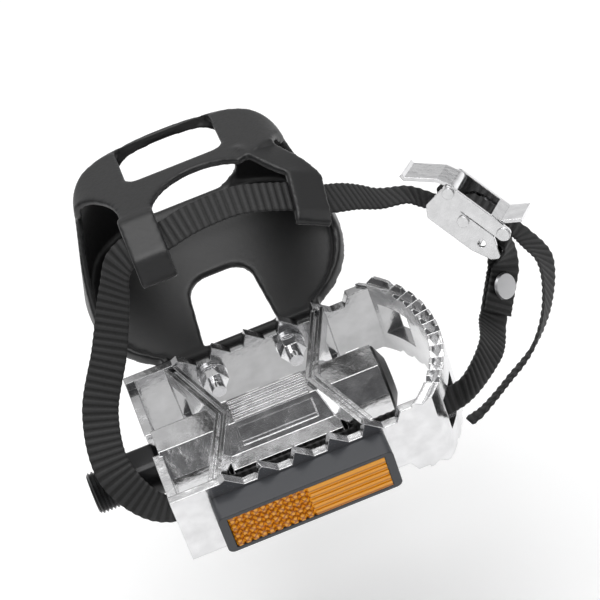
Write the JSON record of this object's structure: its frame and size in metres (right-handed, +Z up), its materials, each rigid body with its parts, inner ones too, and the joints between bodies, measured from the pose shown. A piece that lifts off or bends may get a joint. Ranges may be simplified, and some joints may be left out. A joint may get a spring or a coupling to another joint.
{
  "type": "toe clip pedal",
  "caption": "Bicycle pedal with a polished cast cage, moulded toe basket, buckled strap and amber reflector, screwing into a right-hand crank arm.",
  "frame": {"origin": "on the spindle axis at the shoulder that meets the crank arm", "axes": "+X outboard along the spindle, +Y towards the toe, +Z up"},
  "size_m": [0.1696, 0.1365, 0.0847],
  "materials": {
    "polished_aluminium": "polished",
    "black_steel": "satin",
    "black_rubber": "matte",
    "bearing_bronze": "satin",
    "plain_steel": "satin",
    "bright_steel": "polished",
    "black_plastic": "matte",
    "charcoal_plastic": "satin",
    "amber_lens": "gloss",
    "clip_resin": "satin",
    "black_webbing": "woven"
  },
  "bodies": {
    "axle": {"spindle": "black_steel", "thrust_washer": "plain_steel", "lock_nut": "plain_steel"},
    "pedal": {"body_casting": "polished_aluminium", "inner_seal": "black_rubber", "inner_bush": "bearing_bronze", "outer_bush": "bearing_bronze", "dust_cap": "black_plastic", "reflector_housing": "charcoal_plastic", "reflector_lens": "amber_lens", "reflector_bolts": "plain_steel", "reflector_nuts": "plain_steel", "toe_clip": "clip_resin", "toe_clip_bolts": "bright_steel", "toe_clip_washers": "bright_steel", "toe_clip_nuts": "bright_steel", "strap": "black_webbing", "strap_rivet": "bright_steel", "buckle_frame": "bright_steel", "buckle_roller_pin": "bright_steel", "buckle_lever_pin": "bright_steel"},
    "roller": {"buckle_roller": "bright_steel"},
    "lever": {"buckle_lever": "bright_steel"}
  },
  "joints": [
    {"name": "pedal_spin", "type": "hinge", "parent": "axle", "child": "pedal", "pos_m": [0, 0, 0], "axis": [1, 0, 0], "continuous": true},
    {"name": "roller_spin", "type": "hinge", "parent": "pedal", "child": "roller", "pos_m": [0.13663, 0.03348, 0.02351], "axis": [0.4241, 0.7991, -0.4261], "continuous": true},
    {"name": "lever_lift", "type": "hinge", "parent": "pedal", "child": "lever", "pos_m": [0.1352, 0.03904, 0.03253], "axis": [0.4241, 0.7991, -0.4261], "range_deg": [0, 60]}
  ]
}
